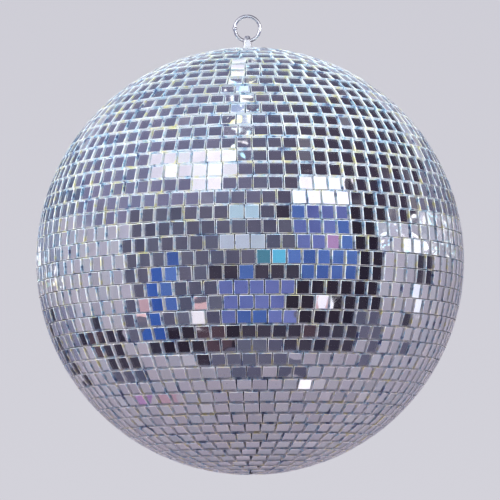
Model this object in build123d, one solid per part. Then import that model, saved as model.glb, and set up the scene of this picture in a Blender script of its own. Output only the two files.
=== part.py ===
"""Mirror ball, 12 inch class, with a forged eye and a loose hanging ring.

Millimetres, +Z up. The origin is the point on the ring's inner edge where a hook bears.
The hollow core is two moulded half shells with a lip joint at the equator. Square flat mirrors
stand on the core in level rows, and each row is one node. A collared eye bolt goes through a
chromed cap and the crown of the upper shell, and is held inside by a plate, washers and two nuts.
"""
from build123d import *
import math
import os
import random

# ---- driving dimensions -------------------------------------------------------------------
BALL_D = 304.8           # over the mirror faces
MIRROR_SIDE = 9.5        # a square of silvered glass
MIRROR_T = 2.0
GLUE_T = 0.15            # adhesive between the core and a mirror's back
ROWS_POLE_TO_POLE = 47   # row pitches from pole to pole, with one row centred on the equator
ROWS_ABOVE = 21          # whole rows above the equator row, up to the top cap
ROWS_BELOW = 22          # whole rows below it, down to the bottom plug
MIRRORS_AT_EQUATOR = 92

OVERRUN = 1.0            # how far a cut runs past the face it cuts

CORE_WALL = 2.5
LIP_H = 6.0              # height of the lip joint between the half shells
LIP_WALL = 1.35          # what the rabbet leaves of the upper shell's wall
FIT = 0.05               # radial clearance of parts that fit into each other

RING_OD = 20.5
RING_WIRE_D = 2.5
PIVOT_ABOVE_POLE = 6.7   # the ring's lowest wire centre, over the top of the mirror sphere

EYE_HOLE_R = 2.1
EYE_HOLE_DROP = 0.4      # the hole's centre hangs this far under the ring's wire centre
EYE_R = 4.2              # outer radius of the eye round its hole
EYE_TOP_W = 3.4          # thickness of the eye along X: at its top, at the ring and at its foot
EYE_MID_W = 4.9
EYE_FOOT_W = 7.0
EYE_FOOT_L = 9.6         # length of the eye's foot along Y
EYE_EDGE_R = 1.2         # rounding of its outer edges, and of the hole's mouths
EYE_MOUTH_R = 1.0
COLLAR_R = 6.0
COLLAR_T = 1.6
COLLAR_EDGE_R = 0.6
BOLT_R = 3.0             # M6
BOLT_END_CHAMFER = 0.6
BOLT_BELOW_CORE = 26.0   # how far the bolt's end is under the top of the core

CAP_R = 19.4
CAP_T = 1.5
CAP_EDGE_R = 0.6
CAP_PAD_R = 7.2          # flat middle of the cap, under the eye's collar
SCREW_CIRCLE_R = 13.4
SCREW_COUNT = 3
SCREW_R = 1.45
SCREW_L = 7.5            # under the head, without the point
SCREW_POINT_R = 0.5      # blunt tip of the point, and its length
SCREW_POINT_L = 1.5
SCREW_HEAD_R = 2.8
SCREW_HEAD_T = 1.7
SCREW_HEAD_EDGE_R = 0.8
RECESS_L = 2.8           # length, width and depth of the arms of the cross recess
RECESS_W = 0.6
RECESS_DEPTH = 0.8

BOSS_R = 24.0
BOSS_DEPTH = 9.0         # from the core's top down to the boss's flat underside
PLATE_R = 22.0
PLATE_T = 2.0
PLATE_CHAMFER = 0.3
WASHER_R = 6.0
WASHER_HOLE_R = 3.2
WASHER_T = 1.6
SPRING_WASHER_R = 5.9
SPRING_WASHER_HOLE_R = 3.1
SPRING_WASHER_T = 1.6
SPLIT_W = 0.6            # the spring washer's split, and its slant
SPLIT_SLANT_DEG = 25
NUT_ACROSS_FLATS = 10.0
NUT_CHAMFER = 0.5
NUT_T = 5.0
JAM_NUT_T = 3.2

PLUG_R = 9.2
PLUG_T = 1.5
PLUG_SHANK_R = 6.0
PLUG_BARB = 0.6
PLUG_LEG_L = 5.0
PLUG_LEG_WALL = 1.6
PLUG_SLOT_W = 2.0        # between the legs, and how far its end stays under the head
PLUG_WEB_T = 1.0

# how unevenly the mirrors are laid by hand, each as the most either way
SIDE_SPREAD = 0.06
SLIP_ALONG_ROW = 0.10
SLIP_ACROSS_ROW = 0.05
ROW_WAVE = 0.09
TILT_DEG = 0.55
TURN_DEG = 0.7
LEAST_GAP = 0.34         # between neighbours in a row, at their closest corners
CORNER_ROOM = 0.25       # how far a row's corners may reach out towards the row before it

# ---- worked out ---------------------------------------------------------------------------
BALL_R = BALL_D / 2
CORE_R = BALL_R - MIRROR_T - GLUE_T
RING_R = (RING_OD - RING_WIRE_D) / 2
PIVOT_Z = -(2 * RING_R - RING_WIRE_D / 2)
CENTRE_Z = PIVOT_Z - PIVOT_ABOVE_POLE - BALL_R
CORE_TOP_Z = CENTRE_Z + CORE_R
CAP_OUT_R = CORE_R + FIT + CAP_T
CAP_PAD_Z = CENTRE_Z + math.sqrt(CAP_OUT_R**2 - CAP_PAD_R**2)
BOSS_Z = CORE_TOP_Z - BOSS_DEPTH
ROW_PITCH = 180 / ROWS_POLE_TO_POLE


def disc(radius, low, high):
    """A cylinder on the Z axis between two heights."""
    return Pos(0, 0, low) * Cylinder(radius, high - low, align=(Align.CENTER, Align.CENTER, Align.MIN))


def ball(radius):
    return Pos(0, 0, CENTRE_Z) * Sphere(radius)


def circle_edges(shape, radius):
    """The round edges of one radius, lowest first."""
    round_edges = shape.edges().filter_by(GeomType.CIRCLE)
    return round_edges.filter_by(lambda e: abs(e.radius - radius) < 0.01).sort_by(Axis.Z)


def hang_ring():
    """A welded ring of round wire, standing in the XZ plane."""
    return Pos(0, 0, PIVOT_Z + RING_R) * Rot(90, 0, 0) * Torus(RING_R, RING_WIRE_D / 2)


def forged_eye(hole_z, foot_z):
    """The eye alone: a tapered lug, wide at its foot, with rounded edges and a rounded hole along X."""
    top_z = hole_z + EYE_R
    foot = Line((-EYE_FOOT_L / 2, foot_z), (EYE_FOOT_L / 2, foot_z))
    side = Plane.YZ * make_hull([*(Pos(0, hole_z) * Circle(EYE_R)).edges(), foot])
    flank = ThreePointArc((EYE_FOOT_W / 2, foot_z), (EYE_MID_W / 2, hole_z), (EYE_TOP_W / 2, top_z))
    front = Plane.XZ * make_face(
        Curve() + [
            flank,
            Line((EYE_TOP_W / 2, top_z), (-EYE_TOP_W / 2, top_z)),
            flank.mirror(Plane.YZ),
            Line((-EYE_FOOT_W / 2, foot_z), (EYE_FOOT_W / 2, foot_z)),
        ]
    )
    eye = extrude(side, EYE_FOOT_W, both=True) & extrude(front, EYE_FOOT_L, both=True)
    rim = eye.edges().filter_by(lambda e: e.center().Z > foot_z + EYE_EDGE_R and abs(e.center().X) > 0.1)
    eye = fillet(rim, EYE_EDGE_R)
    eye -= Pos(0, 0, hole_z) * Rot(0, 90, 0) * Cylinder(EYE_HOLE_R, 2 * EYE_FOOT_W)
    mouths = eye.edges().filter_by(
        lambda e: abs(e.bounding_box().size.Y - 2 * EYE_HOLE_R) < 0.1 and abs(e.center().X) > 0.1
    )
    return fillet(mouths, EYE_MOUTH_R)


def eye_bolt():
    """A forged eye on a round collar, with a plain shank the size of its thread."""
    foot_z = CAP_PAD_Z + COLLAR_T
    collar = disc(COLLAR_R, CAP_PAD_Z, foot_z)
    collar = fillet(circle_edges(collar, COLLAR_R)[-1], COLLAR_EDGE_R)
    shank = disc(BOLT_R, CORE_TOP_Z - BOLT_BELOW_CORE, CAP_PAD_Z)
    shank = chamfer(circle_edges(shank, BOLT_R)[0], BOLT_END_CHAMFER)
    return forged_eye(PIVOT_Z - EYE_HOLE_DROP, foot_z) + collar + shank


def cap_screw_places():
    """Where the cap's screws stand: on a circle, each square to the core under it."""
    lean = math.degrees(math.asin(SCREW_CIRCLE_R / CAP_OUT_R))
    centre = Pos(0, 0, CENTRE_Z)
    turns = [90 + 360 / SCREW_COUNT * i for i in range(SCREW_COUNT)]
    return [centre * Rot(0, 0, turn) * Rot(0, lean, 0) * Pos(0, 0, CAP_OUT_R) for turn in turns]


def screw_hole(radius):
    return Cylinder(radius, 2 * SCREW_L)


def top_cap():
    """A pressed disc that follows the core, with a flat middle, a bolt hole and screw holes."""
    cap = ball(CAP_OUT_R) - ball(CORE_R + FIT)
    cap &= disc(CAP_R, CENTRE_Z + CORE_R / 2, CAP_PAD_Z)
    cap = fillet(circle_edges(cap, CAP_R)[-1], CAP_EDGE_R)
    cap -= disc(BOLT_R + FIT, BOSS_Z, 0)
    for place in cap_screw_places():
        cap -= place * screw_hole(SCREW_R + FIT)
    return cap


def cap_screw():
    """A pan-head tapping screw with a cross recess, its head's underside at the local origin."""
    head = disc(SCREW_HEAD_R, 0, SCREW_HEAD_T)
    head = fillet(circle_edges(head, SCREW_HEAD_R)[-1], SCREW_HEAD_EDGE_R)
    for turn in (0, 90):
        head -= Pos(0, 0, SCREW_HEAD_T) * Rot(0, 0, turn) * Box(RECESS_L, RECESS_W, 2 * RECESS_DEPTH)
    point = Cone(SCREW_POINT_R, SCREW_R, SCREW_POINT_L, align=(Align.CENTER, Align.CENTER, Align.MAX))
    return head + disc(SCREW_R, -SCREW_L, 0) + Pos(0, 0, -SCREW_L) * point


def cap_screws():
    return Compound([place * cap_screw() for place in cap_screw_places()])


def half_ball(radius, up):
    """The upper or lower half of a ball about the core's centre."""
    low = CENTRE_Z if up else CENTRE_Z - BALL_D
    return ball(radius) & disc(BALL_D, low, low + BALL_D)


def upper_core_shell():
    """A half shell with a rabbet at its rim, and a boss under its crown for the eye bolt."""
    inner_r = CORE_R - CORE_WALL
    shell = half_ball(CORE_R, True) - ball(inner_r)
    boss = disc(BOSS_R, BOSS_Z, CORE_TOP_Z) & ball(CORE_R - CORE_WALL / 2)
    shell += boss
    shell -= disc(CORE_R - LIP_WALL, CENTRE_Z - OVERRUN, CENTRE_Z + LIP_H)
    shell -= disc(BOLT_R + 2 * FIT, BOSS_Z - OVERRUN, 0)
    for place in cap_screw_places():
        shell -= place * Pos(0, 0, -CAP_T) * screw_hole(SCREW_R + FIT) & ball(CORE_R + OVERRUN)
    return shell


def lower_core_shell():
    """A half shell with a tongue at its rim that stands in the upper shell's rabbet."""
    inner_r = CORE_R - CORE_WALL
    shell = half_ball(CORE_R, False) - ball(inner_r)
    tongue = disc(CORE_R - LIP_WALL - FIT, CENTRE_Z - LIP_H, CENTRE_Z + LIP_H - FIT) - ball(inner_r)
    shell += tongue & ball(CORE_R - FIT)
    shell -= disc(PLUG_SHANK_R + FIT, CENTRE_Z - CORE_R - OVERRUN, CENTRE_Z - CORE_R / 2)
    return shell


def backing_plate():
    plate = disc(PLATE_R, BOSS_Z - PLATE_T, BOSS_Z) - disc(BOLT_R + FIT, BOSS_Z - PLATE_T, BOSS_Z)
    return chamfer(circle_edges(plate, PLATE_R), PLATE_CHAMFER)


def plain_washer():
    low = BOSS_Z - PLATE_T - WASHER_T
    return disc(WASHER_R, low, low + WASHER_T) - disc(WASHER_HOLE_R, low, low + WASHER_T)


def spring_washer():
    """A split washer, pressed flat, with its ends cut on the slant."""
    high = BOSS_Z - PLATE_T - WASHER_T
    low = high - SPRING_WASHER_T
    washer = disc(SPRING_WASHER_R, low, high) - disc(SPRING_WASHER_HOLE_R, low, high)
    middle = Pos((SPRING_WASHER_R + SPRING_WASHER_HOLE_R) / 2, 0, (low + high) / 2)
    split = Box(SPRING_WASHER_R - SPRING_WASHER_HOLE_R + OVERRUN, SPLIT_W, 3 * SPRING_WASHER_T)
    return washer - middle * Rot(SPLIT_SLANT_DEG, 0, 0) * split


def nut(top_z, thickness):
    """A hexagon nut under a height, its corners chamfered at both ends."""
    low = top_z - thickness
    hexagon = RegularPolygon(NUT_ACROSS_FLATS / 2, 6, major_radius=False)
    body = extrude(Pos(0, 0, low) * hexagon, thickness)
    corner_r = NUT_ACROSS_FLATS / 2 / math.cos(math.radians(30))
    barrel = disc(corner_r, low, top_z)
    body &= chamfer(circle_edges(barrel, corner_r), NUT_CHAMFER)
    return body - disc(BOLT_R + FIT, low, top_z)


def hex_nut():
    return nut(BOSS_Z - PLATE_T - WASHER_T - SPRING_WASHER_T, NUT_T)


def jam_nut():
    return nut(BOSS_Z - PLATE_T - WASHER_T - SPRING_WASHER_T - NUT_T, JAM_NUT_T)


def bottom_plug():
    """A moulded plug with a domed head and four springy barbed legs."""
    core_low = CENTRE_Z - CORE_R
    leg_top = core_low + PLUG_LEG_L
    head = ball(CORE_R + FIT + PLUG_T) - ball(CORE_R + FIT)
    head &= disc(PLUG_R, core_low - PLUG_LEG_L, leg_top)
    legs = disc(PLUG_SHANK_R, core_low - PLUG_T / 2, leg_top)
    barb_low = core_low + CORE_WALL + PLUG_BARB / 2
    barb_align = (Align.CENTER, Align.CENTER, Align.MIN)
    barb = Cone(PLUG_SHANK_R + PLUG_BARB, PLUG_SHANK_R - PLUG_BARB, leg_top - barb_low, align=barb_align)
    legs += Pos(0, 0, barb_low) * barb
    legs -= disc(PLUG_SHANK_R - PLUG_LEG_WALL, core_low, leg_top + OVERRUN)
    slot = Box(4 * PLUG_SHANK_R, PLUG_SLOT_W, 2 * (PLUG_LEG_L - PLUG_WEB_T))
    for turn in (0, 90):
        legs -= Pos(0, 0, leg_top) * Rot(0, 0, turn) * slot
    return head + legs


def row_latitude(row):
    """A row's latitude in degrees, row 0 on the equator.

    The corners of square mirrors reach out past their row's edge, and most where the row is small.
    Near a pole each row therefore stands a little further up, to leave its corners room.
    """
    half = MIRROR_SIDE / 2
    shift = 0
    for step in range(1, abs(row) + 1):
        nominal = math.radians(step * ROW_PITCH)
        outer_r = CORE_R * math.cos(nominal) + half * math.sin(nominal)
        shift += max(0, half**2 / (2 * outer_r) - CORNER_ROOM)
    return math.copysign(abs(row) * ROW_PITCH + math.degrees(shift / CORE_R), row)


def mirrors_in_row(latitude):
    """How many mirrors a row holds: the usual pitch, opened out near the poles to keep corners apart."""
    angle = math.radians(abs(latitude))
    usual = round(MIRRORS_AT_EQUATOR * math.cos(angle))
    half = MIRROR_SIDE / 2
    edge_r = (CORE_R + GLUE_T) * math.cos(angle) - half * math.sin(angle)
    most = math.floor(math.pi / math.atan((half + LEAST_GAP / 2) / edge_r))
    return min(usual, most)


def mirror_row(row):
    """One level row of separate square mirrors, row 0 on the equator, each laid a little unevenly."""
    luck = random.Random(1000 + row)
    latitude = row_latitude(row)
    count = mirrors_in_row(latitude)
    start = luck.uniform(0, 360)
    waves = [(luck.uniform(0, 360), luck.uniform(0.5, 1.0)) for _ in range(2)]
    mirrors = []
    for i in range(count):
        azimuth = start + 360 * i / count
        wave = sum(
            ROW_WAVE / 2 * size * math.sin(math.radians(turns * azimuth + phase))
            for turns, (phase, size) in zip((3, 7), waves)
        )
        square = Box(
            MIRROR_SIDE + luck.uniform(-SIDE_SPREAD, SIDE_SPREAD),
            MIRROR_SIDE + luck.uniform(-SIDE_SPREAD, SIDE_SPREAD),
            MIRROR_T,
            align=(Align.CENTER, Align.CENTER, Align.MIN),
        )
        laid = Location(
            (
                luck.uniform(-SLIP_ALONG_ROW, SLIP_ALONG_ROW),
                luck.uniform(-SLIP_ACROSS_ROW, SLIP_ACROSS_ROW) + wave,
                0,
            ),
            (
                luck.uniform(-TILT_DEG, TILT_DEG),
                luck.uniform(-TILT_DEG, TILT_DEG),
                luck.uniform(-TURN_DEG, TURN_DEG),
            ),
        )
        out = Vector(1, 0, 0).rotate(Axis.Y, -latitude).rotate(Axis.Z, azimuth)
        east = Vector(0, 1, 0).rotate(Axis.Z, azimuth)
        seat = Plane(Vector(0, 0, CENTRE_Z) + out * (CORE_R + GLUE_T), x_dir=east, z_dir=out)
        mirrors.append((seat.location * laid * square).solid())
    return Compound(mirrors)


def row_name(row):
    if row == 0:
        return "mirror_row_equator"
    return f"mirror_row_{'upper' if row > 0 else 'lower'}_{abs(row):02d}"


def write(name, shape):
    """One STEP file per node, without the curves in surface space that any reader works out again."""
    export_step(shape, f"parts/{name}.step", write_pcurves=False)


os.makedirs("parts", exist_ok=True)
for piece in (
    hang_ring,
    eye_bolt,
    top_cap,
    cap_screws,
    upper_core_shell,
    lower_core_shell,
    backing_plate,
    plain_washer,
    spring_washer,
    hex_nut,
    jam_nut,
    bottom_plug,
):
    write(piece.__name__, piece())
for row in range(-ROWS_BELOW, ROWS_ABOVE + 1):
    write(row_name(row), mirror_row(row))
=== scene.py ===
"""A 12 inch mirror ball on its hanging ring: the looks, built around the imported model."""

import math
import random

import bmesh
import bpy
from mathutils import Matrix, Vector


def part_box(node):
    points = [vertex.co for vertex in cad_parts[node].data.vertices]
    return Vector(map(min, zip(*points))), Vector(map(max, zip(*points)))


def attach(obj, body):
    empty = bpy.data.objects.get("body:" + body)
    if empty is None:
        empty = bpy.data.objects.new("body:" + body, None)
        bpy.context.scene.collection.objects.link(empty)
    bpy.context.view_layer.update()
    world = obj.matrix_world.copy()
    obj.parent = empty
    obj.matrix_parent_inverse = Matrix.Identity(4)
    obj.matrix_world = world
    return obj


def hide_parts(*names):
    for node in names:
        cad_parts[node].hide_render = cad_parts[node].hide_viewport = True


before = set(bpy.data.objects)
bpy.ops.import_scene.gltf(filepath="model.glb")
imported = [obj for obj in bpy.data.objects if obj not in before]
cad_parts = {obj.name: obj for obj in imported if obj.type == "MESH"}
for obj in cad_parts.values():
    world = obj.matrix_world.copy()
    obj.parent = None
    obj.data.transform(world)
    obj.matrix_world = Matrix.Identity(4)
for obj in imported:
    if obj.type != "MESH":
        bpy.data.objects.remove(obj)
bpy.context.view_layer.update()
MM = 0.001

# ---------------------------------------------------------------- places, read from the frame

LOWER_SHELL_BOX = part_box("lower_core_shell")
CORE_RADIUS = (LOWER_SHELL_BOX[1].x - LOWER_SHELL_BOX[0].x) / 2
BALL_CENTRE = Vector((0.0, 0.0, LOWER_SHELL_BOX[0].z + CORE_RADIUS))
EQUATOR_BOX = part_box("mirror_row_equator")
BALL_RADIUS = (EQUATOR_BOX[1].x - EQUATOR_BOX[0].x) / 2
RING_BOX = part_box("hang_ring")

# ---------------------------------------------------------------- driving sizes, in metres

# mirrors
ARRIS_WIDE = 0.13 * MM
ARRIS_UNEVEN = (0.7, 1.4)           # least and most width of an arris, as shares of the usual one
ARRIS_DEEP = 0.11 * MM
PAINT_THICK = 0.12 * MM
CORNER_NIP = (0.06 * MM, 0.20 * MM)
CORNER_CHIP = (0.45 * MM, 1.05 * MM)
CHIPPED_CORNERS = 0.035             # share of the corners that have a chip in place of a nip
CUT_SKEW = 0.07 * MM
SAME_CORNER = 0.005 * MM            # corners of the CAD mesh this close are one corner

# hanging ring
RING_STEPS = 144
WIRE_STEPS = 28
WELD_SWELL = 0.38                   # how much thicker the wire is at its weld, as a share of its radius
WELD_RIPPLE = 0.08                  # how uneven the swelling is round the wire
WELD_HALF_ANGLE = math.radians(7)

# camera
BALL_RADII_AWAY = 14.0
CAMERA_ELEVATION = math.radians(-5)
CAMERA_LENS = 215.0                 # millimetres, as is the sensor
CAMERA_SENSOR = 36.0
CAMERA_REACH = 100.0
AIM_ABOVE_CENTRE = 7.9 * MM
CAMERA_ROLL = math.radians(-0.7)

# floor
FLOOR_BELOW_BALL = 1.10
FLOOR_RADIUS = 12.0
FLOOR_SEGMENTS = 64
FLOOR_FADE = (3.0, 0.9 * FLOOR_RADIUS)   # from the middle, where it starts to fade and where it has gone


# ---------------------------------------------------------------- node helpers


def rgb(code):
    """A colour written as six hexadecimal digits, as linear red, green, blue and alpha."""
    values = [int(code[i:i + 2], 16) / 255 for i in (0, 2, 4)]
    linear = [v / 12.92 if v <= 0.04045 else ((v + 0.055) / 1.055) ** 2.4 for v in values]
    return (*linear, 1.0)


def add(tree, kind, **settings):
    """A node of that kind. Settings are its properties, or the values of the sockets with those names."""
    made = tree.nodes.new(kind)
    for key, value in settings.items():
        socket = made.inputs.get(key.replace("_", " ").title()) or made.inputs.get(key)
        if hasattr(made, key):
            setattr(made, key, value)
        elif socket is not None:
            socket.default_value = value
        else:
            raise ValueError(f"{kind} has nothing called {key}")
    return made


def math_node(tree, operation, first, second=None):
    """A Math node on two sockets or numbers, and its output."""
    made = tree.nodes.new("ShaderNodeMath")
    made.operation = operation
    for i, value in enumerate((first, second)):
        if value is None:
            continue
        if isinstance(value, (int, float)):
            made.inputs[i].default_value = value
        else:
            tree.links.new(value, made.inputs[i])
    return made.outputs[0]


def remap(tree, value, low, high, to_low, to_high, smooth=False):
    """The value, mapped from low..high to to_low..to_high and clamped."""
    made = tree.nodes.new("ShaderNodeMapRange")
    made.interpolation_type = "SMOOTHSTEP" if smooth else "LINEAR"
    for name, number in zip(("From Min", "From Max", "To Min", "To Max"), (low, high, to_low, to_high)):
        made.inputs[name].default_value = number
    tree.links.new(value, made.inputs["Value"])
    return made.outputs["Result"]


def ramp(tree, value, stops):
    """A colour ramp with these (place, colour) stops."""
    made = tree.nodes.new("ShaderNodeValToRGB")
    elements = made.color_ramp.elements
    while len(elements) < len(stops):
        elements.new(0.5)
    for element, (place, colour) in zip(elements, stops):
        element.position = place
        element.color = colour
    tree.links.new(value, made.inputs["Fac"])
    return made.outputs["Color"]


def mix(tree, share, first, second):
    """A colour mix of two sockets or colours. Share is a socket or a number."""
    made = tree.nodes.new("ShaderNodeMix")
    made.data_type = "RGBA"
    for index, value in ((0, share), (6, first), (7, second)):
        if isinstance(value, bpy.types.NodeSocket):
            tree.links.new(value, made.inputs[index])
        else:
            made.inputs[index].default_value = value
    return made.outputs[2]


def noise(tree, coords, scale, detail=2.0, roughness=0.5, stretch=None):
    """A noise texture's value, 0 to 1. Scale is in cycles a metre, and stretch scales the axes."""
    if stretch is not None:
        mapping = tree.nodes.new("ShaderNodeMapping")
        mapping.inputs["Scale"].default_value = stretch
        tree.links.new(coords, mapping.inputs["Vector"])
        coords = mapping.outputs["Vector"]
    made = tree.nodes.new("ShaderNodeTexNoise")
    made.inputs["Scale"].default_value = scale
    made.inputs["Detail"].default_value = detail
    made.inputs["Roughness"].default_value = roughness
    tree.links.new(coords, made.inputs["Vector"])
    return made.outputs["Fac"]


def bump(tree, height, distance):
    """A bump, with the distance in metres that a height of 1 stands for."""
    made = tree.nodes.new("ShaderNodeBump")
    made.inputs["Distance"].default_value = distance
    tree.links.new(height, made.inputs["Height"])
    return made.outputs["Normal"]


def new_material(name, **sockets):
    """A material with one Principled shader, and its tree, shader and coordinates."""
    material = bpy.data.materials.new(name)
    material.use_nodes = True
    tree = material.node_tree
    shader = tree.nodes["Principled BSDF"]
    for key, value in sockets.items():
        shader.inputs[key.replace("_", " ")].default_value = value
    coords = tree.nodes.new("ShaderNodeTexCoord").outputs["Object"]
    return material, tree, shader, coords


def feed(tree, shader, **sockets):
    """Links sockets to the shader's inputs of those names."""
    for key, value in sockets.items():
        tree.links.new(value, shader.inputs[key.replace("_", " ")])


def let_light_through(tree, shader, share, colour):
    """Mixes in that share of light from the far side of the surface, in that colour."""
    through = tree.nodes.new("ShaderNodeBsdfTranslucent")
    tree.links.new(colour, through.inputs["Color"])
    both = tree.nodes.new("ShaderNodeMixShader")
    both.inputs[0].default_value = share
    tree.links.new(shader.outputs[0], both.inputs[1])
    tree.links.new(through.outputs[0], both.inputs[2])
    tree.links.new(both.outputs[0], tree.nodes["Material Output"].inputs["Surface"])


# ---------------------------------------------------------------- materials: mirrors


def front_glass():
    """The clear front of each mirror, with faint smears and dust."""
    material, tree, shader, coords = new_material("front_glass", Transmission_Weight=1.0, IOR=1.52)
    dust = remap(tree, noise(tree, coords, 900, 3, 0.7), 0.66, 0.74, 0.0, 1.0)
    smear = remap(tree, noise(tree, coords, 38, 5, 0.6), 0.52, 0.74, 0.0, 1.0, True)
    tint = mix(tree, math_node(tree, "MULTIPLY", dust, 0.25), (0.97, 0.985, 0.99, 1), (0.70, 0.70, 0.72, 1))
    smeared = math_node(tree, "MULTIPLY", smear, 0.05)
    rough = math_node(tree, "ADD", smeared, math_node(tree, "MULTIPLY", dust, 0.12))
    feed(tree, shader, Base_Color=tint, Roughness=rough)
    return material


def silver():
    """The mirror layer: a tint that varies by mirror, a few dark spots and a slight warp."""
    material, tree, shader, coords = new_material("silver", Metallic=1.0, Roughness=0.01)
    piece = tree.nodes.new("ShaderNodeNewGeometry").outputs["Random Per Island"]
    tint = ramp(tree, piece, [
        (0.0, (0.84, 0.87, 0.93, 1)),
        (0.3, (0.95, 0.95, 0.96, 1)),
        (0.55, (0.88, 0.86, 0.93, 1)),
        (0.8, (0.96, 0.92, 0.94, 1)),
        (1.0, (0.80, 0.85, 0.92, 1)),
    ])
    spots = remap(tree, noise(tree, coords, 520, 3, 0.65), 0.68, 0.74, 0.0, 1.0)
    colour = mix(tree, math_node(tree, "MULTIPLY", spots, 0.5), tint, (0.30, 0.28, 0.27, 1))
    wave = bump(tree, noise(tree, coords, 55, 1, 0.4), 0.05 * MM)
    feed(tree, shader, Base_Color=colour, Normal=wave)
    return material


def ground_arris():
    """The seamed edge of each mirror: white ground glass, with painted colour fringes of split light in
    cyan and yellow and painted shade in dark blue.
    """
    material, tree, shader, coords = new_material("ground_arris", IOR=1.52, Specular_IOR_Level=0.6)
    # the cyan and yellow stops are painted colour fringes of split light; the dark blue stop is painted
    # shade between the mirrors
    glass_with_painted_fringe_and_shade = ramp(tree, noise(tree, coords, 190, 2, 0.6), [
        (0.37, (0.07, 0.10, 0.26, 1)),
        (0.405, (0.42, 0.70, 0.88, 1)),
        (0.45, (0.86, 0.87, 0.92, 1)),
        (0.58, (0.92, 0.90, 0.89, 1)),
        (0.66, (0.94, 0.86, 0.38, 1)),
    ])
    grains = noise(tree, coords, 4200, 3, 0.7)
    rough = remap(tree, grains, 0.3, 0.7, 0.25, 0.55)
    feed(tree, shader, Base_Color=glass_with_painted_fringe_and_shade, Roughness=rough, Normal=bump(tree, grains, 0.01 * MM))
    let_light_through(tree, shader, 0.4, glass_with_painted_fringe_and_shade)
    return material


def glass_side():
    """The scored and snapped side of each mirror: white glass with snap lines, and the same painted colour
    fringes of split light and painted shade.
    """
    material, tree, shader, coords = new_material("glass_side", IOR=1.52, Specular_IOR_Level=0.6)
    streaks = noise(tree, coords, 1500, 3, 0.65)
    # the cyan and yellow stops are painted colour fringes of split light; the dark blue stop is painted
    # shade between the mirrors
    glass_with_painted_fringe_and_shade = ramp(tree, noise(tree, coords, 130, 3, 0.6), [
        (0.37, (0.06, 0.09, 0.30, 1)),
        (0.405, (0.42, 0.78, 0.97, 1)),
        (0.455, (0.94, 0.96, 1.0, 1)),
        (0.58, (0.98, 0.97, 0.97, 1)),
        (0.66, (1.0, 0.92, 0.42, 1)),
    ])
    colour = mix(tree, remap(tree, streaks, 0.42, 0.60, 0.30, 0.0), glass_with_painted_fringe_and_shade, (0.72, 0.76, 0.82, 1))
    rough = remap(tree, streaks, 0.3, 0.7, 0.12, 0.45)
    feed(tree, shader, Base_Color=colour, Roughness=rough, Normal=bump(tree, streaks, 0.02 * MM))
    let_light_through(tree, shader, 0.55, colour)
    return material


def backing_paint():
    """The grey paint over the silver, on the back of each mirror."""
    material, tree, shader, coords = new_material("backing_paint")
    mottle = noise(tree, coords, 700, 4, 0.6)
    colour = ramp(tree, mottle, [(0.3, (0.07, 0.075, 0.09, 1)), (0.7, (0.14, 0.145, 0.16, 1))])
    feed(tree, shader, Base_Color=colour, Roughness=remap(tree, mottle, 0.3, 0.7, 0.45, 0.7))
    return material


# ---------------------------------------------------------------- materials: metal


def plated(name, colour, rough):
    """Bright plating: fine upright scratches, handling haze and a little tarnish."""
    material, tree, shader, coords = new_material(name, Metallic=1.0)
    tarnish = (0.42, 0.40, 0.38, 1)
    haze = noise(tree, coords, 180, 4, 0.6)
    scratches = noise(tree, coords, 900, 4, 0.7, (1, 1, 0.12))
    spots = remap(tree, noise(tree, coords, 650, 3, 0.6), 0.62, 0.76, 0.0, 1.0, True)
    worn = mix(tree, remap(tree, haze, 0.35, 0.75, 0.0, 0.25), colour, (0.93, 0.93, 0.94, 1))
    shade = mix(tree, math_node(tree, "MULTIPLY", spots, 0.4), worn, tarnish)
    dull = math_node(tree, "ADD", remap(tree, haze, 0.3, 0.75, rough, rough * 3.2),
                     math_node(tree, "MULTIPLY", spots, 0.18))
    feed(tree, shader, Base_Color=shade, Roughness=dull, Normal=bump(tree, scratches, 0.004 * MM))
    return material


def spun_cap():
    """Bright plated pressing with the faint rings that spinning leaves."""
    material, tree, shader, coords = new_material("chrome_cap", Metallic=1.0)
    rings = add(tree, "ShaderNodeTexWave", wave_type="RINGS", rings_direction="Z", Scale=900,
                Distortion=0.6)
    tree.links.new(coords, rings.inputs["Vector"])
    haze = noise(tree, coords, 120, 4, 0.6)
    colour = ramp(tree, haze, [(0.3, (0.70, 0.71, 0.73, 1)), (0.7, (0.86, 0.87, 0.88, 1))])
    rough = remap(tree, haze, 0.3, 0.75, 0.08, 0.26)
    height = mix(tree, 0.4, rings.outputs["Color"], noise(tree, coords, 2400, 3))
    feed(tree, shader, Base_Color=colour, Roughness=rough, Normal=bump(tree, height, 0.006 * MM))
    return material


def zinc(name, shift):
    """Zinc plate with its faint blue and straw patches."""
    material, tree, shader, coords = new_material(name, Metallic=1.0)
    patches = noise(tree, coords, 260, 3, 0.6)
    colour = ramp(tree, patches, [
        (0.30, (0.56, 0.60, 0.66 + shift, 1)),
        (0.52, (0.68, 0.69, 0.70, 1)),
        (0.72, (0.72, 0.69, 0.60 - shift, 1)),
    ])
    grains = noise(tree, coords, 3000, 3, 0.7)
    rough = remap(tree, patches, 0.3, 0.7, 0.24, 0.44)
    feed(tree, shader, Base_Color=colour, Roughness=rough, Normal=bump(tree, grains, 0.01 * MM))
    return material


# ---------------------------------------------------------------- materials: plastic


def core_plastic():
    """Dark moulded plastic under the mirrors, with yellowish adhesive that has squeezed out in places."""
    material, tree, shader, coords = new_material("core_plastic", IOR=1.5)
    mottle = noise(tree, coords, 400, 4, 0.6)
    plastic = ramp(tree, mottle, [(0.3, (0.030, 0.034, 0.055, 1)), (0.7, (0.060, 0.068, 0.105, 1))])
    squeezed = remap(tree, noise(tree, coords, 160, 3, 0.6), 0.54, 0.64, 0.0, 1.0, True)
    colour = mix(tree, math_node(tree, "MULTIPLY", squeezed, 0.6), plastic, (0.24, 0.22, 0.19, 1))
    rough = remap(tree, squeezed, 0, 1, 0.55, 0.22)
    feed(tree, shader, Base_Color=colour, Roughness=rough, Normal=bump(tree, mottle, 0.05 * MM))
    return material


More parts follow.
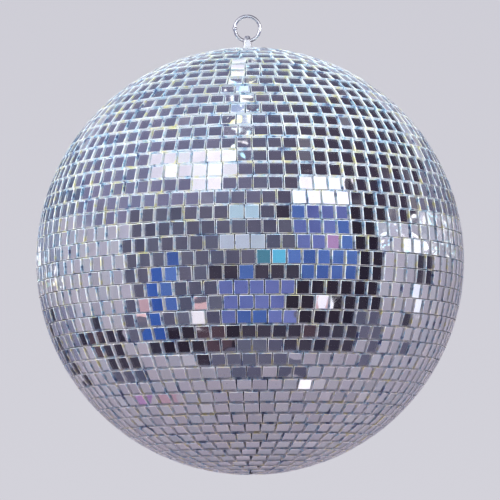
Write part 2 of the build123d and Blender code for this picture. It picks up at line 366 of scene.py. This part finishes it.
def plug_plastic():
    """Dark moulded plug with a fine spark-eroded grain and rubbed high spots."""
    material, tree, shader, coords = new_material("plug_plastic", IOR=1.5)
    grains = noise(tree, coords, 2600, 3, 0.6)
    rubbed = remap(tree, noise(tree, coords, 220, 3), 0.5, 0.7, 0.0, 1.0, True)
    share = math_node(tree, "MULTIPLY", rubbed, 0.5)
    colour = mix(tree, share, (0.035, 0.035, 0.040, 1), (0.09, 0.09, 0.10, 1))
    rough = remap(tree, rubbed, 0, 1, 0.52, 0.34)
    feed(tree, shader, Base_Color=colour, Roughness=rough, Normal=bump(tree, grains, 0.03 * MM))
    return material


# ---------------------------------------------------------------- mirrors


def mirror_places(node_name):
    """The place, axes and sizes of each mirror of a CAD row, as mirror_place gives them."""
    mesh = bmesh.new()
    mesh.from_mesh(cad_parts[node_name].data)
    bmesh.ops.remove_doubles(mesh, verts=mesh.verts, dist=SAME_CORNER)
    left = set(mesh.verts)
    places = []
    for start in list(mesh.verts):
        if start not in left:
            continue
        island = [start]
        left.discard(start)
        for vert in island:
            for edge in vert.link_edges:
                other = edge.other_vert(vert)
                if other in left:
                    left.discard(other)
                    island.append(other)
        places.append(mirror_place([vert.co.copy() for vert in island]))
    mesh.free()
    return places


def middle(points):
    """The mean of the points."""
    return sum(points, Vector()) / len(points)


def mirror_place(corners):
    """One mirror from its eight corners: the middle of its back, its axes, half sides and thickness."""
    outward = (middle(corners) - BALL_CENTRE).normalized()
    ranked = sorted(corners, key=lambda corner: corner.dot(outward))
    back = middle(ranked[:4])
    front = middle(ranked[4:])
    n = (front - back).normalized()
    first = ranked[4]
    sides = sorted((corner - first for corner in ranked[5:]), key=lambda side: side.length)[:2]
    sides.sort(key=lambda side: abs(side.normalized().z))
    u = (sides[0] - n * sides[0].dot(n)).normalized()
    if n.cross(u).z < 0:
        u = -u
    return back, u, n.cross(u), n, sides[0].length / 2, sides[1].length / 2, (front - back).length


def mirror_outline(half_u, half_v, dice):
    """The eight points of one mirror's cut outline, anticlockwise: a rectangle with nipped corners."""
    points = []
    for sign_u, sign_v in ((1, 1), (-1, 1), (-1, -1), (1, -1)):
        nip_range = CORNER_CHIP if dice.random() < CHIPPED_CORNERS else CORNER_NIP
        nip_u = dice.uniform(*nip_range)
        nip_v = dice.uniform(*nip_range)
        corner_u = sign_u * (half_u - dice.uniform(0, CUT_SKEW))
        corner_v = sign_v * (half_v - dice.uniform(0, CUT_SKEW))
        along_u = (corner_u - sign_u * nip_u, corner_v)
        along_v = (corner_u, corner_v - sign_v * nip_v)
        points += [along_v, along_u] if sign_u * sign_v > 0 else [along_u, along_v]
    return points


def mirror_row(node_name, piece_name, finishes, dice):
    """One row of mirrors as glass plates. The dice draw each mirror's corners, then its arris."""
    glass, arris, side, paint, silvering = range(len(finishes))
    verts, faces, slots = [], [], []
    for back, u, v, n, half_u, half_v, thick in mirror_places(node_name):
        outline = mirror_outline(half_u, half_v, dice)
        arris_wide = ARRIS_WIDE * dice.uniform(*ARRIS_UNEVEN)
        # height over the back, and how far the outline is drawn in there
        levels = (
            (0.0, 0.0),
            (PAINT_THICK, 0.0),
            (thick - ARRIS_DEEP, 0.0),
            (thick, arris_wide),
        )
        first = len(verts)
        for height, inset in levels:
            shrink_u = 1 - inset / half_u
            shrink_v = 1 - inset / half_v
            verts += [back + u * (x * shrink_u) + v * (y * shrink_v) + n * height for x, y in outline]
        count = len(outline)
        for level, slot in enumerate((paint, side, arris)):
            low = first + level * count
            for i in range(count):
                j = (i + 1) % count
                faces.append((low + i, low + j, low + count + j, low + count + i))
                slots.append(slot)
        faces.append(tuple(first + i for i in reversed(range(count))))
        slots.append(silvering)
        top = first + (len(levels) - 1) * count
        faces.append(tuple(top + i for i in range(count)))
        slots.append(glass)
    mesh = bpy.data.meshes.new(piece_name)
    mesh.from_pydata(verts, [], faces)
    mesh.polygons.foreach_set("material_index", slots)
    for finish in finishes:
        mesh.materials.append(finish)
    mesh.update()
    piece = bpy.data.objects.new(piece_name, mesh)
    bpy.context.scene.collection.objects.link(piece)
    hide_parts(node_name)
    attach(piece, "ball")


def mirrors():
    """Every row of mirrors, one piece a row, from the CAD rows."""
    finishes = (front_glass(), ground_arris(), glass_side(), backing_paint(), silver())
    rows = sorted(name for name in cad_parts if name.startswith("mirror_row_"))
    dice = random.Random(12)
    for row in rows:
        mirror_row(row, row.replace("mirror_row", "mirror_tiles"), finishes, dice)


# ---------------------------------------------------------------- hanging ring


def ring_wire():
    """The ring, bent from wire and butt-welded at its left side, where the wire swells a little."""
    centre = (RING_BOX[0] + RING_BOX[1]) / 2
    outer = (RING_BOX[1].z - RING_BOX[0].z) / 2
    wire = (RING_BOX[1].y - RING_BOX[0].y) / 2
    centreline = outer - wire
    dice = random.Random(3)
    ripple = [dice.uniform(-WELD_RIPPLE, WELD_RIPPLE) for _ in range(WIRE_STEPS)]
    verts, faces = [], []
    for i in range(RING_STEPS):
        angle = math.tau * i / RING_STEPS
        out = Vector((math.cos(angle), 0, math.sin(angle)))
        from_weld = abs(angle - math.pi) / WELD_HALF_ANGLE
        swell = WELD_SWELL * math.exp(-from_weld ** 2)
        for j in range(WIRE_STEPS):
            turn = math.tau * j / WIRE_STEPS
            reach = wire * (1 + swell * (1 + ripple[j]))
            along_out = centreline + reach * math.cos(turn)
            verts.append(centre + out * along_out + Vector((0, reach * math.sin(turn), 0)))
    for i in range(RING_STEPS):
        for j in range(WIRE_STEPS):
            a = i * WIRE_STEPS + j
            b = i * WIRE_STEPS + (j + 1) % WIRE_STEPS
            c = ((i + 1) % RING_STEPS) * WIRE_STEPS + (j + 1) % WIRE_STEPS
            d = ((i + 1) % RING_STEPS) * WIRE_STEPS + j
            faces.append((a, d, c, b))
    mesh = bpy.data.meshes.new("ring_wire")
    mesh.from_pydata(verts, [], faces)
    mesh.materials.append(plated("bright_ring", (0.88, 0.89, 0.91, 1), 0.10))
    mesh.shade_smooth()
    piece = bpy.data.objects.new("ring_wire", mesh)
    bpy.context.scene.collection.objects.link(piece)
    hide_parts("hang_ring")
    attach(piece, "hanger")


# ---------------------------------------------------------------- CAD pieces that keep their shape


def dress(node_name, material):
    """Gives a CAD node that material all over."""
    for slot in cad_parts[node_name].material_slots:
        slot.material = material


def cad_pieces():
    """Better materials for the CAD pieces that are shown as they are."""
    dress("eye_bolt", plated("chrome_eye", (0.86, 0.87, 0.89, 1), 0.16))
    dress("top_cap", spun_cap())
    dress("cap_screws", plated("steel_screws", (0.60, 0.60, 0.62, 1), 0.16))
    core = core_plastic()
    dress("upper_core_shell", core)
    dress("lower_core_shell", core)
    plain = zinc("zinc_steel", 0.0)
    straw = zinc("zinc_washers", 0.04)
    for node_name in ("backing_plate", "hex_nut", "jam_nut"):
        dress(node_name, plain)
    for node_name in ("plain_washer", "spring_washer"):
        dress(node_name, straw)
    dress("bottom_plug", plug_plastic())


# ---------------------------------------------------------------- studio

TO_CAMERA = Vector((0, -math.cos(CAMERA_ELEVATION), math.sin(CAMERA_ELEVATION)))
CAMERA_UP = Vector((0, math.sin(CAMERA_ELEVATION), math.cos(CAMERA_ELEVATION)))

# colours of the room
GREY = "626276"
DIM = "3f3b4a"
DARK = "2e2836"
BROWN = "564650"
BLUE = "5471b4"
DEEP = "3a5ca8"
VIOLET = "6c77b4"
MAUVE = "b08cbc"
WHITE = "f6f4fb"
PINK = "d9b6bd"
PALE = "b0abba"
CYAN = "74d0f0"
TEAL = "4d8098"
ROSE = "b99aa8"
ICE = "b9d3e6"
MIST = "c3cfe0"
PALE_BLUE = "b9c4e4"
DULL_BLUE = "aebbdc"
SLATE = "7a7a8e"
BLUE_SLATE = "6c738c"
LIGHT_SLATE = "949cb4"
WARM_SLATE = "8688a0"

# Cards round the ball that its mirrors show. Each lies where a viewer in front sees it in the ball:
# its colour, its strength, then its left, right, low and high edges, in ball radii from the middle.
CARDS = (
    # dull fields along both limbs
    (SLATE, 1.0, 0.79, 0.985, 0.20, 0.60),
    (BLUE_SLATE, 1.0, -0.985, -0.78, 0.19, 0.62),
    (LIGHT_SLATE, 1.0, -0.99, -0.87, -0.06, 0.19),
    (WARM_SLATE, 1.0, -0.97, -0.79, -0.50, -0.17),
    # the dark side of the room, behind the camera
    (GREY, 1.0, -0.55, 0.58, -0.35, 0.26),
    (DARK, 1.0, 0.46, 0.59, -0.24, 0.28),
    (DARK, 1.0, 0.18, 0.48, -0.36, -0.08),
    (DIM, 1.0, -0.44, 0.46, -0.40, -0.30),
    (DARK, 1.0, -0.38, -0.02, -0.44, -0.31),
    (BROWN, 1.0, -0.24, -0.10, -0.37, -0.31),
    (BROWN, 1.0, -0.32, -0.24, -0.43, -0.38),
    (BROWN, 1.0, 0.20, 0.27, -0.37, -0.31),
    (DIM, 1.0, -0.16, 0.26, -0.08, -0.01),
    (DIM, 1.0, 0.13, 0.18, 0.20, 0.26),
    (DIM, 1.0, 0.40, 0.47, 0.205, 0.27),
    (GREY, 1.0, -0.16, 0.22, -0.50, -0.37),
    (DIM, 1.0, 0.20, 0.33, -0.43, -0.36),
    # blue
    (VIOLET, 1.0, 0.19, 0.47, 0.00, 0.265),
    (BLUE, 1.0, 0.36, 0.47, -0.08, 0.20),
    (BLUE, 1.0, 0.19, 0.27, 0.18, 0.265),
    (BLUE, 1.0, 0.25, 0.46, -0.08, 0.00),
    (BLUE, 1.0, 0.17, 0.40, 0.00, 0.06),
    (MAUVE, 1.0, 0.345, 0.40, 0.06, 0.12),
    (VIOLET, 1.0, -0.125, 0.175, -0.29, -0.10),
    (BLUE, 1.0, -0.08, 0.06, -0.30, -0.19),
    (BLUE, 1.0, -0.035, 0.045, -0.08, -0.03),
    (DEEP, 1.0, -0.47, -0.385, -0.33, -0.03),
    (BLUE, 1.0, -0.40, -0.32, -0.20, 0.035),
    # white
    (WHITE, 1.15, -0.43, -0.072, 0.400, 0.505),
    (WHITE, 1.15, -0.242, -0.146, 0.335, 0.41),
    (WHITE, 1.5, 0.216, 0.44, 0.262, 0.405),
    (WHITE, 1.4, 0.315, 0.375, -0.215, -0.160),
    (WHITE, 1.0, -0.252, -0.178, -0.31, -0.235),
    (WHITE, 1.2, 0.216, 0.285, -0.56, -0.50),
    (WHITE, 1.4, 0.735, 0.785, -0.265, -0.115),
    (WHITE, 1.2, 0.285, 0.302, -0.215, -0.160),
    # the bright strip high in the middle, and glints on the flanks
    (WHITE, 1.3, -0.055, -0.005, 0.83, 0.955),
    (PALE_BLUE, 1.0, -0.085, -0.025, 0.765, 0.82),
    (DULL_BLUE, 1.0, -0.065, -0.015, 0.57, 0.74),
    (WHITE, 1.5, 0.695, 0.76, 0.025, 0.085),
    (WHITE, 1.5, -0.985, -0.965, 0.00, 0.08),
    # small colours
    (ICE, 1.0, -0.066, 0.013, 0.205, 0.265),
    (MIST, 1.0, -0.10, 0.052, 0.05, 0.112),
    (CYAN, 1.0, 0.118, 0.170, -0.012, 0.055),
    (TEAL, 1.0, 0.015, 0.085, -0.012, 0.05),
    (PINK, 1.0, -0.27, -0.20, -0.235, -0.18),
    (PINK, 1.0, 0.285, 0.315, -0.24, -0.15),
    (PINK, 1.0, -0.53, -0.47, -0.25, -0.19),
    (PALE, 1.0, 0.125, 0.20, -0.43, -0.37),
    (PINK, 1.0, 0.08, 0.14, -0.55, -0.50),
    (ROSE, 1.0, -0.45, -0.34, -0.64, -0.58),
    (MAUVE, 0.9, -0.51, -0.455, -0.64, -0.58),
    # dark things low at the left and right
    (DIM, 1.0, -0.735, -0.69, -0.32, -0.26),
    (DIM, 1.0, -0.78, -0.575, -0.388, -0.322),
    (BROWN, 1.0, -0.73, -0.675, -0.388, -0.322),
    (DIM, 1.0, -0.72, -0.505, -0.448, -0.388),
    (BROWN, 1.0, -0.72, -0.665, -0.448, -0.388),
    (DIM, 1.0, -0.665, -0.54, -0.505, -0.448),
    (PINK, 1.0, -0.54, -0.50, -0.50, -0.45),
    (GREY, 1.0, -0.635, -0.465, -0.56, -0.505),
    (DIM, 1.0, -0.920, -0.900, -0.32, -0.23),
    (DIM, 1.0, -0.895, -0.870, -0.39, -0.32),
    (DIM, 1.0, -0.860, -0.830, -0.45, -0.39),
    (DIM, 1.0, -0.825, -0.790, -0.50, -0.45),
    (DIM, 1.0, -0.775, -0.735, -0.56, -0.50),
    (DIM, 1.0, 0.735, 0.835, -0.112, 0.02),
    (DIM, 1.0, 0.70, 0.735, -0.32, -0.26),
    (GREY, 1.0, 0.53, 0.595, -0.42, -0.37),
    (GREY, 1.0, 0.47, 0.54, -0.48, -0.43),
    (GREY, 1.0, 0.67, 0.72, -0.445, -0.39),
)
# Where the mirrors show only specks of light: left, right, low and high edges, in ball radii.
SPECKLED = (
    (0.59, 0.94, 0.015, 0.20),
    (-0.99, -0.86, -0.12, 0.06),
    (-0.10, 0.04, 0.42, 0.93),
)
CARD_DISTANCE = 3.0      # of the first card, in metres from the ball's centre
CARD_SPACING = 0.01      # how much nearer each next card is
CARD_STEPS = 24
SPECKS_A_METRE = 74
SPECK_STRENGTH = 1.7

# Soft lamps: name, place, size in metres, power in watts and colour. The mirrors and the metal don't show
# the ball's lamps. The hardware's lamps light only the hardware, which shows them.
BALL_LAMPS = (
    ("overhead_soft", (0.0, 0.0, 2.4), 2.0, 138, (0.76, 0.95, 1.0)),
    ("front_top_soft", (-0.5, -1.6, 1.7), 1.2, 205, (0.86, 0.97, 1.0)),
    ("underneath_soft", (0.0, -0.9, -1.25), 1.4, 18, (1.0, 0.80, 0.90)),
    ("left_soft", (-1.7, -0.5, -0.1), 1.0, 22, (1.0, 0.92, 0.98)),
    ("right_soft", (1.7, -0.5, -0.1), 1.0, 20, (1.0, 0.92, 0.96)),
)
HARDWARE_LAMPS = (
    ("hardware_left", (-1.2, -1.2, 0.6), 0.9, 9, (1.0, 1.0, 1.0)),
    ("hardware_right", (1.3, -0.8, 0.3), 0.7, 7, (1.0, 1.0, 1.0)),
    ("hardware_front", (0.1, -1.7, 0.2), 1.4, 4.5, (1.0, 1.0, 1.0)),
)
HARDWARE = ("ring_wire", "eye_bolt", "top_cap", "cap_screws")


def card_point(across, up, distance):
    """The point at that distance that a viewer in front sees that far across and up the ball's face."""
    facing = math.sqrt(max(0.0, 1 - across * across - up * up))
    normal = Vector((1, 0, 0)) * across + CAMERA_UP * up + TO_CAMERA * facing
    return BALL_CENTRE + (normal * (2 * facing) - TO_CAMERA) * distance


def bare_material(name):
    """A material with no shader yet, and its tree, surface socket and coordinates."""
    material = bpy.data.materials.new(name)
    material.use_nodes = True
    tree = material.node_tree
    tree.nodes.clear()
    surface = tree.nodes.new("ShaderNodeOutputMaterial").inputs["Surface"]
    coords = tree.nodes.new("ShaderNodeTexCoord").outputs["Object"]
    return material, tree, surface, coords


def lit_card(name, colour, strength):
    """A card's own glow, mottled."""
    material, tree, surface, coords = bare_material(name)
    mottle = remap(tree, noise(tree, coords, 2.4, 3, 0.7), 0.34, 0.68, 0.0, 1.0)
    full = rgb(colour)
    dimmed = (full[0] * 0.72, full[1] * 0.72, full[2] * 0.78, 1)
    raised = (full[0] * 1.22 + 0.01, full[1] * 1.20 + 0.01, full[2] * 1.16 + 0.01, 1)
    glow = tree.nodes.new("ShaderNodeEmission")
    glow.inputs["Strength"].default_value = strength
    tree.links.new(mix(tree, mottle, dimmed, raised), glow.inputs["Color"])
    tree.links.new(glow.outputs[0], surface)
    return material


def speckled_card():
    """Small specks of light, white with a few cyan and yellow ones, on a clear card."""
    material, tree, surface, coords = bare_material("card_specks")
    cells = add(tree, "ShaderNodeTexVoronoi", Scale=SPECKS_A_METRE)
    tree.links.new(coords, cells.inputs["Vector"])
    specks = remap(tree, cells.outputs["Distance"], 0.28, 0.38, 1.0, 0.0)
    colour = ramp(tree, noise(tree, coords, 40, 1), [
        (0.36, (0.50, 0.85, 1.0, 1)),
        (0.44, (1.0, 1.0, 1.0, 1)),
        (0.58, (1.0, 1.0, 1.0, 1)),
        (0.66, (1.0, 0.92, 0.50, 1)),
    ])
    glow = tree.nodes.new("ShaderNodeEmission")
    glow.inputs["Strength"].default_value = SPECK_STRENGTH
    tree.links.new(colour, glow.inputs["Color"])
    clear = tree.nodes.new("ShaderNodeBsdfTransparent")
    both = tree.nodes.new("ShaderNodeMixShader")
    tree.links.new(specks, both.inputs[0])
    tree.links.new(clear.outputs[0], both.inputs[1])
    tree.links.new(glow.outputs[0], both.inputs[2])
    tree.links.new(both.outputs[0], surface)
    return material


def hang_card(order, finish, left, right, low, high):
    """One card, on its own sphere round the ball. A later one in the order is nearer."""
    distance = CARD_DISTANCE - CARD_SPACING * order
    verts, faces = [], []
    for i in range(CARD_STEPS + 1):
        for j in range(CARD_STEPS + 1):
            across = left + (right - left) * i / CARD_STEPS
            up = low + (high - low) * j / CARD_STEPS
            verts.append(card_point(across, up, distance))
    for i in range(CARD_STEPS):
        for j in range(CARD_STEPS):
            a = i * (CARD_STEPS + 1) + j
            faces.append((a, a + 1, a + CARD_STEPS + 2, a + CARD_STEPS + 1))
    mesh = bpy.data.meshes.new(f"card_{order:02d}")
    mesh.from_pydata(verts, [], faces)
    mesh.materials.append(finish)
    piece = bpy.data.objects.new(mesh.name, mesh)
    bpy.context.scene.collection.objects.link(piece)
    piece.visible_camera = False
    piece.visible_shadow = False
    piece.visible_diffuse = False


def cards():
    """The plain cards, and the speckled ones nearer than any of them."""
    finishes = {}
    for order, (colour, strength, *edges) in enumerate(CARDS):
        key = (colour, strength)
        if key not in finishes:
            finishes[key] = lit_card(f"card_glow_{len(finishes):02d}", colour, strength)
        hang_card(order, finishes[key], *edges)
    specks = speckled_card()
    for order, edges in enumerate(SPECKLED, len(CARDS)):
        hang_card(order, specks, *edges)


def mirrored_room(tree, direction, axes, elevation):
    """The room's colour in each direction: pale low down and behind, dim above, with soft blotches."""
    # behind the ball the dim part begins up to 26 degrees higher
    behind = remap(tree, axes.outputs["Y"], 0.5, 0.92, 0, 26, True)
    lowered = remap(tree, math_node(tree, "SUBTRACT", elevation, behind), -90, 90, 0, 1)
    pale = ramp(tree, lowered, [
        (0.00, rgb("a29caa")),
        (0.25, rgb("aea8b6")),
        (0.45, rgb("b8b5c4")),
        (0.575, rgb("c2c2d2")),
    ])
    dim = ramp(tree, remap(tree, axes.outputs["X"], -1, 1, 0, 1), [
        (0.10, rgb("8686a4")),
        (0.50, rgb("74748c")),
        (0.74, rgb("4e4858")),
        (0.90, rgb("40394a")),
    ])
    room = mix(tree, remap(tree, lowered, 0.585, 0.592, 0, 1), pale, dim)
    blotches = remap(tree, noise(tree, direction, 7.5, 4, 0.65), 0.36, 0.70, 0.0, 1.0, True)
    room = mix(tree, math_node(tree, "MULTIPLY", blotches, 0.30), room, rgb("4a4758"))
    glow = remap(tree, noise(tree, direction, 11, 2, 0.6), 0.60, 0.72, 0.0, 1.0, True)
    return mix(tree, math_node(tree, "MULTIPLY", glow, 0.22), room, rgb("e4dde8"))


def surroundings():
    """The world: the camera sees a plain pale backdrop, and everything else the mirrored room."""
    world = bpy.data.worlds.new("studio")
    bpy.context.scene.world = world
    world.use_nodes = True
    tree = world.node_tree
    tree.nodes.clear()
    direction = tree.nodes.new("ShaderNodeTexCoord").outputs["Generated"]
    axes = tree.nodes.new("ShaderNodeSeparateXYZ")
    tree.links.new(direction, axes.inputs[0])
    # degrees over the horizon, which wanders by up to 2 degrees
    wander = remap(tree, noise(tree, direction, 2.6, 3, 0.6), 0.25, 0.75, -2.0, 2.0)
    level = math_node(tree, "MULTIPLY", math_node(tree, "ARCSINE", axes.outputs["Z"]), math.degrees(1))
    elevation = math_node(tree, "ADD", level, wander)
    room = mirrored_room(tree, direction, axes, elevation)
    backdrop = ramp(tree, remap(tree, elevation, -90, 90, 0, 1), [
        (0.30, rgb("cfced6")),
        (0.50, rgb("d3d2da")),
        (0.75, rgb("bdbcc8")),
    ])
    seen = tree.nodes.new("ShaderNodeLightPath").outputs["Is Camera Ray"]
    background = tree.nodes.new("ShaderNodeBackground")
    output = tree.nodes.new("ShaderNodeOutputWorld")
    tree.links.new(mix(tree, seen, room, backdrop), background.inputs["Color"])
    tree.links.new(background.outputs[0], output.inputs[0])


def floor_material():
    """Pale and evenly lit, and clear towards its rim, where the backdrop takes over."""
    material, tree, shader, coords = new_material("pale_floor", Roughness=0.8, Base_Color=rgb("303034"),
                                                  Emission_Strength=0.92)
    colour = ramp(tree, noise(tree, coords, 3, 5, 0.6), [(0.3, rgb("cbcad2")), (0.7, rgb("cfced6"))])
    feed(tree, shader, Emission_Color=colour)
    away = add(tree, "ShaderNodeVectorMath", operation="LENGTH")
    tree.links.new(coords, away.inputs[0])
    clear = tree.nodes.new("ShaderNodeBsdfTransparent")
    both = tree.nodes.new("ShaderNodeMixShader")
    tree.links.new(remap(tree, away.outputs["Value"], *FLOOR_FADE, 0, 1, True), both.inputs[0])
    tree.links.new(shader.outputs[0], both.inputs[1])
    tree.links.new(clear.outputs[0], both.inputs[2])
    tree.links.new(both.outputs[0], tree.nodes["Material Output"].inputs["Surface"])
    return material


def floor():
    """A large round floor, well below the ball. The mirrors show the room in its place."""
    level = BALL_CENTRE.z - BALL_RADIUS - FLOOR_BELOW_BALL
    verts, faces = [(0, 0, level)], []
    for i in range(FLOOR_SEGMENTS):
        angle = math.tau * i / FLOOR_SEGMENTS
        verts.append((FLOOR_RADIUS * math.cos(angle), FLOOR_RADIUS * math.sin(angle), level))
        faces.append((0, i + 1, (i + 1) % FLOOR_SEGMENTS + 1))
    mesh = bpy.data.meshes.new("floor")
    mesh.from_pydata(verts, [], faces)
    mesh.materials.append(floor_material())
    piece = bpy.data.objects.new("floor", mesh)
    bpy.context.scene.collection.objects.link(piece)
    piece.visible_glossy = False
    piece.visible_diffuse = False
    piece.visible_transmission = False


def soft_light(name, place, size, power, colour, only_for=None):
    """A large square lamp aimed at the ball. With only_for, it lights those alone, and they show it."""
    data = bpy.data.lights.new(name, "AREA")
    data.shape = "SQUARE"
    data.size = size
    data.energy = power
    data.color = colour
    lamp = bpy.data.objects.new(name, data)
    lamp.location = Vector(place)
    lamp.rotation_euler = (BALL_CENTRE - lamp.location).to_track_quat("-Z", "Y").to_euler()
    lamp.visible_camera = False
    lamp.visible_glossy = only_for is not None
    lamp.visible_transmission = False
    bpy.context.scene.collection.objects.link(lamp)
    if only_for is not None:
        lit = bpy.data.collections.new(name + "_lit")
        for piece in only_for:
            lit.objects.link(piece)
        lamp.light_linking.receiver_collection = lit


def studio():
    """Pale floor, plain surroundings, the cards that the mirrors show, and soft lamps."""
    surroundings()
    cards()
    floor()
    hardware = [bpy.data.objects[name] for name in HARDWARE]
    for lamp in BALL_LAMPS:
        soft_light(*lamp)
    for lamp in HARDWARE_LAMPS:
        soft_light(*lamp, only_for=hardware)


def camera():
    """The camera, low in front of the ball and looking slightly up."""
    data = bpy.data.cameras.new("camera")
    data.lens = CAMERA_LENS
    data.sensor_width = CAMERA_SENSOR
    data.clip_end = CAMERA_REACH
    piece = bpy.data.objects.new("camera", data)
    piece.location = BALL_CENTRE + TO_CAMERA * (BALL_RADII_AWAY * BALL_RADIUS)
    aim = BALL_CENTRE + Vector((0, 0, AIM_ABOVE_CENTRE)) - piece.location
    turn = aim.to_track_quat("-Z", "Y").to_matrix().to_4x4() @ Matrix.Rotation(CAMERA_ROLL, 4, "Z")
    piece.rotation_euler = turn.to_euler()
    bpy.context.scene.collection.objects.link(piece)
    bpy.context.scene.camera = piece


# ---------------------------------------------------------------- the scene

camera()
mirrors()
ring_wire()
cad_pieces()
studio()
bpy.context.scene.view_settings.view_transform = "Standard"
